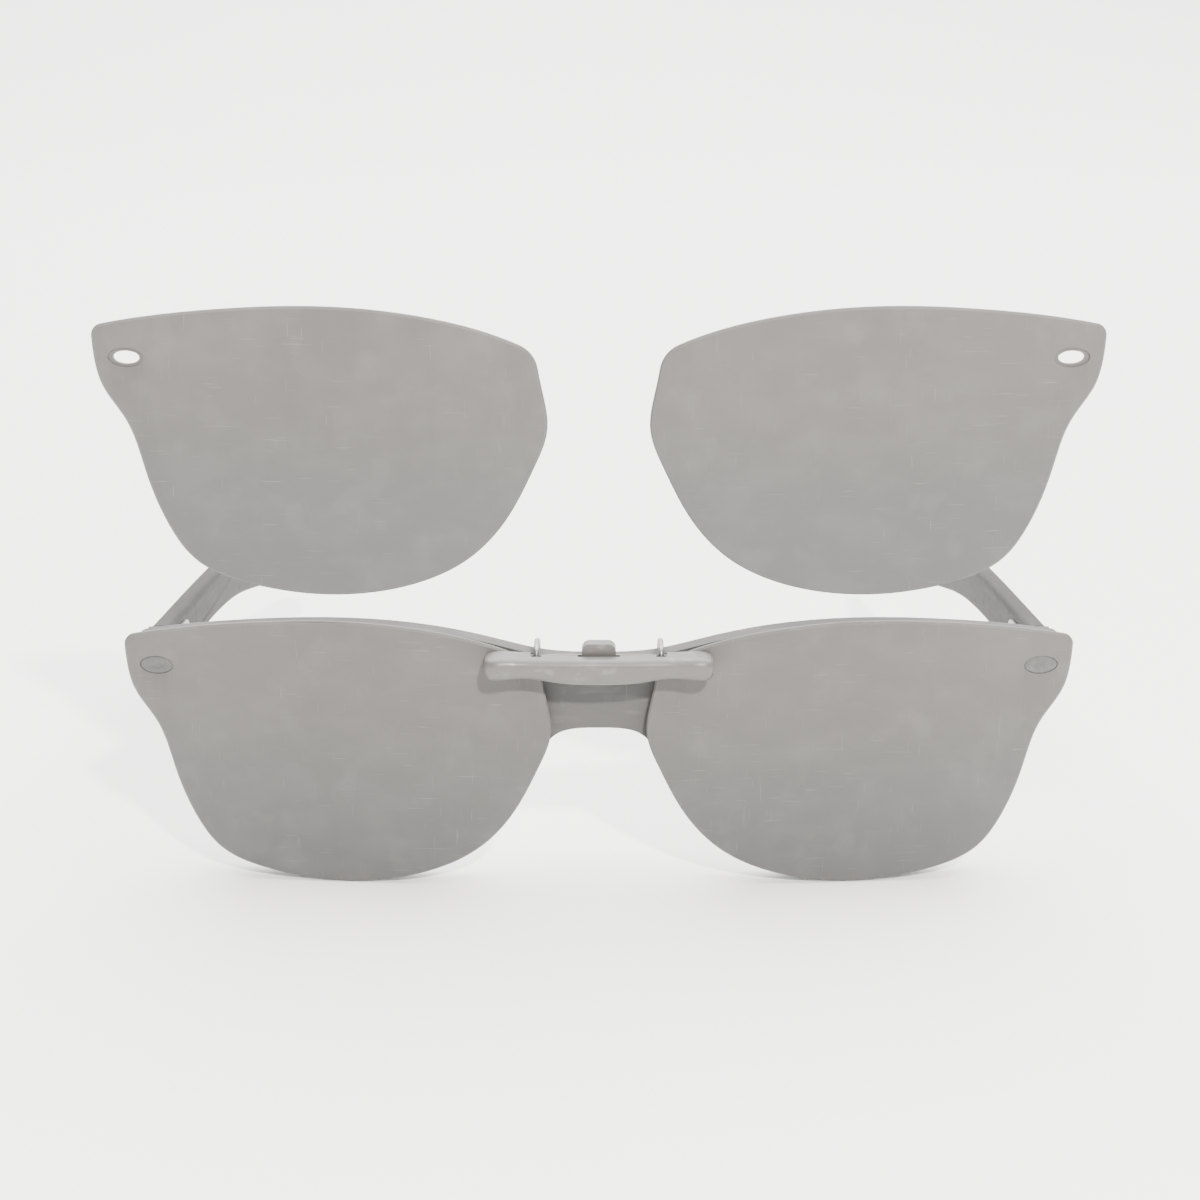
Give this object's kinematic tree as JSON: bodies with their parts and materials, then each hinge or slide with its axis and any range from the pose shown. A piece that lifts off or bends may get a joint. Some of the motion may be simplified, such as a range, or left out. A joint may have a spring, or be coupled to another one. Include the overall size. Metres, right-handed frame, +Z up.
{
  "type": "clip-on sunglasses",
  "caption": "Spectacles with folding temples, a sprung clip-on pair of sun lenses held by a centre bar, and a spare pair of lenses raised above.",
  "frame": {"origin": "on the surface the open glasses stand on, at the middle of their bounding box", "axes": "+X to the right seen from the front, +Y back along the temples, +Z up"},
  "size_m": [0.1472, 0.1496, 0.0922],
  "materials": {
    "frame_acetate": "polished grey acetate, fine pearl cloud",
    "sun_lens": "solid grey sun lens with a soft flash coat, nearly opaque",
    "optical_lens": "clear coated spectacle lens",
    "satin_metal": "satin grey plated alloy",
    "steel": "small bright steel parts",
    "soft_rubber": "soft grey silicone rubber",
    "nose_pad": "satin grey acetate pads"
  },
  "bodies": {
    "glasses": {"frame_front": "frame_acetate", "optical_lens_left": "optical_lens", "optical_lens_right": "optical_lens", "nose_pad_left": "nose_pad", "nose_pad_right": "nose_pad", "hinge_front_leaf_left": "steel", "hinge_front_leaf_right": "steel", "hinge_screw_left": "steel", "hinge_screw_right": "steel"},
    "temple_arm_left": {"temple_left": "frame_acetate", "temple_core_wire_left": "steel", "hinge_temple_leaf_left": "steel"},
    "temple_arm_right": {"temple_right": "frame_acetate", "temple_core_wire_right": "steel", "hinge_temple_leaf_right": "steel"},
    "clip_on": {"clip_bar": "satin_metal", "clip_back_plate": "satin_metal", "clip_screws": "steel", "jaw_pin": "steel", "torsion_springs": "steel", "sun_lens_left": "sun_lens", "sun_lens_right": "sun_lens", "lens_bumper_left": "soft_rubber", "lens_bumper_right": "soft_rubber", "bridge_pad_left": "soft_rubber", "bridge_pad_right": "soft_rubber"},
    "jaw": {"jaw_lever": "satin_metal", "prong_left": "steel", "prong_right": "steel", "prong_sleeve_left": "soft_rubber", "prong_sleeve_right": "soft_rubber"},
    "spare_left": {"spare_lens_left": "sun_lens"},
    "spare_right": {"spare_lens_right": "sun_lens"}
  },
  "joints": [
    {"name": "temple_left_fold", "type": "hinge", "parent": "glasses", "child": "temple_arm_left", "pos_m": [-0.0649, -0.0539, 0.0354], "axis": [0, 0, -1], "range_deg": [0, 87]},
    {"name": "temple_right_fold", "type": "hinge", "parent": "glasses", "child": "temple_arm_right", "pos_m": [0.0649, -0.0539, 0.0354], "axis": [0, 0, 1], "range_deg": [0, 79]},
    {"name": "clip_lift", "type": "slide", "parent": "glasses", "child": "clip_on", "axis": [0, 0, 1], "range_m": [0, 0.04]},
    {"name": "jaw_open", "type": "hinge", "parent": "clip_on", "child": "jaw", "pos_m": [0, -0.0672, 0.0369], "axis": [1, 0, 0], "range_deg": [0, 20], "stiffness_Nm_per_rad": 0.02, "springref_deg": -11.46},
    {"name": "spare_lens_left_lift", "type": "slide", "parent": "glasses", "child": "spare_left", "axis": [0, 0, 1], "range_m": [-0.0495, 0]},
    {"name": "spare_lens_right_lift", "type": "slide", "parent": "glasses", "child": "spare_right", "axis": [0, 0, 1], "range_m": [-0.0495, 0]}
  ]
}
